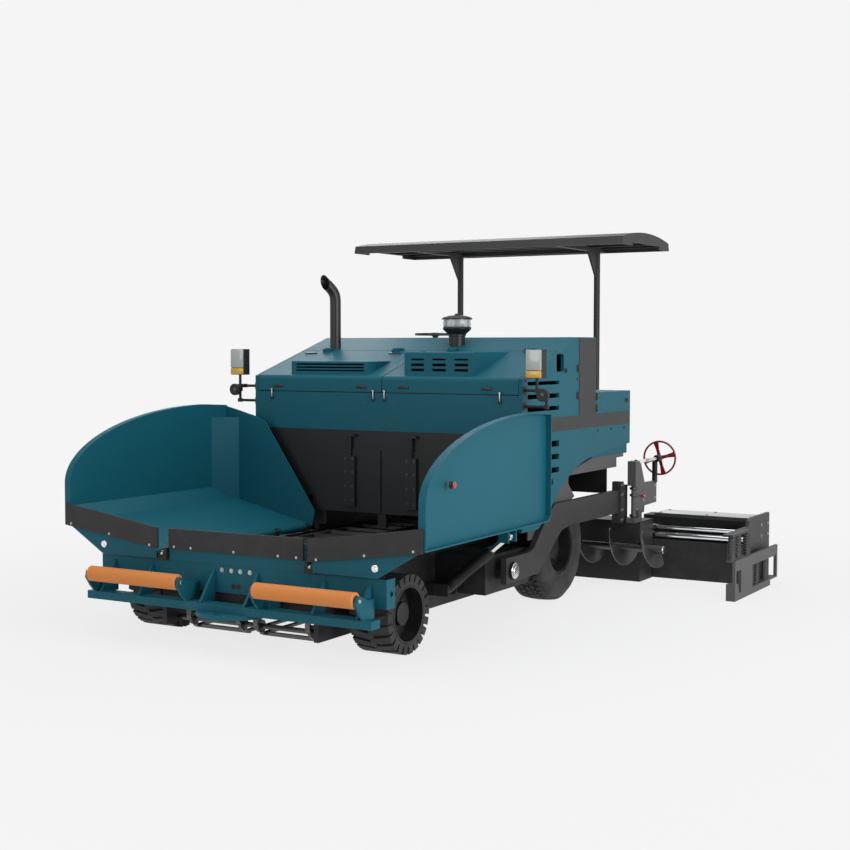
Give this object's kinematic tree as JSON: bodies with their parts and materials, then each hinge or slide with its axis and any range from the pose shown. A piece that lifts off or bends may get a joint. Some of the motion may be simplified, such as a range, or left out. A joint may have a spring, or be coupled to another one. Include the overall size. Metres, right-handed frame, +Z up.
{
  "type": "wheeled asphalt paver",
  "caption": "Wheeled asphalt paver: folding hopper and push rollers in front, hood and canopy, augers and a floating extendable screed on tow arms behind.",
  "frame": {"origin": "on the ground, midway between the push rollers' front and the screed's rear, on the machine's centre plane", "axes": "+Z up, -Y the way the machine drives and faces, +X to the machine's left"},
  "size_m": [4.972, 5.217, 3.215],
  "materials": {
    "teal_paint": "semi-gloss teal enamel",
    "dark_paint": "satin dark grey enamel",
    "black_paint": "satin black enamel",
    "grey_paint": "satin mid grey enamel",
    "cover_steel": "brushed plate",
    "orange_paint": "orange enamel, rubbed by truck tyres",
    "red_paint": "gloss dark red enamel",
    "rubber": "ribbed conveyor rubber",
    "tyre": "moulded tyre rubber",
    "chrome": "hard chrome",
    "steel": "worn hardened steel",
    "seat_vinyl": "matt black vinyl"
  },
  "bodies": {
    "chassis": {"main_frame": "black_paint", "front_axle": "black_paint", "rear_axle": "black_paint", "front_bumper": "teal_paint", "centre_flap": "rubber", "slat_conveyors": "steel", "hopper_front": "teal_paint", "side_panels": "teal_paint", "hood_shell": "teal_paint", "engine_block": "dark_paint", "hopper_bulkhead": "black_paint", "flow_gates": "black_paint", "operator_deck": "teal_paint", "fenders": "grey_paint", "side_trim": "dark_paint", "canopy_roof": "dark_paint", "canopy_posts": "dark_paint", "exhaust_pipe": "black_paint", "air_cleaner": "black_paint", "work_lamps": "black_paint", "console": "dark_paint", "operator_seats": "seat_vinyl", "auger_frame": "black_paint"},
    "screed": {"tow_arms": "dark_paint", "screed_box": "dark_paint", "thickness_posts": "grey_paint", "handwheels": "red_paint"},
    "steering_left": {"knuckle_left": "black_paint"},
    "front_wheel_left": {"front_tyre_left": "tyre", "front_rim_left": "black_paint"},
    "rear_wheel_left": {"rear_tyre_left": "tyre", "rear_rim_left": "black_paint"},
    "roller_left": {"push_roller_left": "orange_paint"},
    "hopper_wing_left": {"wing_left": "teal_paint", "wing_flap_left": "rubber"},
    "cylinder_left": {"wing_barrel_left": "black_paint"},
    "piston_left": {"wing_rod_left": "chrome"},
    "engine_lid_left": {"lid_left": "teal_paint"},
    "screed_extension_left": {"extension_left": "dark_paint", "guide_tubes_left": "chrome", "end_gate_left": "grey_paint"},
    "auger_screw_left": {"auger_left": "steel"},
    "steering_right": {"knuckle_right": "black_paint"},
    "front_wheel_right": {"front_tyre_right": "tyre", "front_rim_right": "black_paint"},
    "rear_wheel_right": {"rear_tyre_right": "tyre", "rear_rim_right": "black_paint"},
    "roller_right": {"push_roller_right": "orange_paint"},
    "hopper_wing_right": {"wing_right": "teal_paint", "wing_flap_right": "rubber"},
    "cylinder_right": {"wing_barrel_right": "black_paint"},
    "piston_right": {"wing_rod_right": "chrome"},
    "engine_lid_right": {"lid_right": "teal_paint"},
    "screed_extension_right": {"extension_right": "dark_paint", "guide_tubes_right": "chrome", "end_gate_right": "grey_paint"},
    "auger_screw_right": {"auger_right": "steel"}
  },
  "joints": [
    {"name": "screed_lift", "type": "hinge", "parent": "chassis", "child": "screed", "pos_m": [0, -0.4205, 0.411], "axis": [1, 0, 0], "range_deg": [0, 5.5]},
    {"name": "steer_left", "type": "hinge", "parent": "chassis", "child": "steering_left", "pos_m": [0.868, -1.8615, 0.285], "axis": [0, 0, 1], "range_deg": [-22, 22]},
    {"name": "front_spin_left", "type": "hinge", "parent": "steering_left", "child": "front_wheel_left", "pos_m": [1.01, -1.8615, 0.285], "axis": [1, 0, 0], "continuous": true},
    {"name": "rear_spin_left", "type": "hinge", "parent": "chassis", "child": "rear_wheel_left", "pos_m": [1.013, 0.6765, 0.464], "axis": [1, 0, 0], "continuous": true},
    {"name": "roller_spin_left", "type": "hinge", "parent": "chassis", "child": "roller_left", "pos_m": [0.755, -2.5515, 0.485], "axis": [1, 0, 0], "continuous": true},
    {"name": "wing_fold_left", "type": "hinge", "parent": "chassis", "child": "hopper_wing_left", "pos_m": [0.66, -1.4015, 0.645], "axis": [0, -1, 0], "range_deg": [0, 60]},
    {"name": "cylinder_swing_left", "type": "hinge", "parent": "chassis", "child": "cylinder_left", "pos_m": [0.885, -0.7915, 0.296], "axis": [0, -1, 0], "range_deg": [0, 46.6]},
    {"name": "piston_slide_left", "type": "slide", "parent": "cylinder_left", "child": "piston_left", "axis": [0.7645, 0, 0.6447], "range_m": [0, 0.366]},
    {"name": "lid_open_left", "type": "hinge", "parent": "chassis", "child": "engine_lid_left", "pos_m": [0.635, 0.3825, 2.15078], "axis": [-1, 0, 0], "range_deg": [0, 55]},
    {"name": "extension_slide_left", "type": "slide", "parent": "screed", "child": "screed_extension_left", "axis": [-1, 0, 0], "range_m": [0, 0.6]},
    {"name": "auger_spin_left", "type": "hinge", "parent": "chassis", "child": "auger_screw_left", "pos_m": [0.925, 1.7335, 0.345], "axis": [1, 0, 0], "continuous": true},
    {"name": "steer_right", "type": "hinge", "parent": "chassis", "child": "steering_right", "pos_m": [-0.868, -1.8615, 0.285], "axis": [0, 0, 1], "range_deg": [-22, 22]},
    {"name": "front_spin_right", "type": "hinge", "parent": "steering_right", "child": "front_wheel_right", "pos_m": [-1.01, -1.8615, 0.285], "axis": [1, 0, 0], "continuous": true},
    {"name": "rear_spin_right", "type": "hinge", "parent": "chassis", "child": "rear_wheel_right", "pos_m": [-1.013, 0.6765, 0.464], "axis": [1, 0, 0], "continuous": true},
    {"name": "roller_spin_right", "type": "hinge", "parent": "chassis", "child": "roller_right", "pos_m": [-0.755, -2.5515, 0.485], "axis": [1, 0, 0], "continuous": true},
    {"name": "wing_fold_right", "type": "hinge", "parent": "chassis", "child": "hopper_wing_right", "pos_m": [-0.66, -1.4015, 0.645], "axis": [0, 1, 0], "range_deg": [0, 60]},
    {"name": "cylinder_swing_right", "type": "hinge", "parent": "chassis", "child": "cylinder_right", "pos_m": [-0.885, -0.7915, 0.296], "axis": [0, 1, 0], "range_deg": [0, 46.6]},
    {"name": "piston_slide_right", "type": "slide", "parent": "cylinder_right", "child": "piston_right", "axis": [-0.7645, 0, 0.6447], "range_m": [0, 0.366]},
    {"name": "lid_open_right", "type": "hinge", "parent": "chassis", "child": "engine_lid_right", "pos_m": [-0.635, 0.3825, 2.15078], "axis": [-1, 0, 0], "range_deg": [0, 55]},
    {"name": "extension_slide_right", "type": "slide", "parent": "screed", "child": "screed_extension_right", "axis": [1, 0, 0], "range_m": [0, 0.6]},
    {"name": "auger_spin_right", "type": "hinge", "parent": "chassis", "child": "auger_screw_right", "pos_m": [-0.925, 1.7335, 0.345], "axis": [1, 0, 0], "continuous": true}
  ],
  "couplings": [
    {"joint": "cylinder_swing_left", "follows": "wing_fold_left", "ratio": 0.7659},
    {"joint": "piston_slide_left", "follows": "wing_fold_left", "m_per_rad": 0.3449},
    {"joint": "cylinder_swing_right", "follows": "wing_fold_right", "ratio": 0.7659},
    {"joint": "piston_slide_right", "follows": "wing_fold_right", "m_per_rad": 0.3449},
    {"joint": "steer_right", "follows": "steer_left", "ratio": 1}
  ]
}
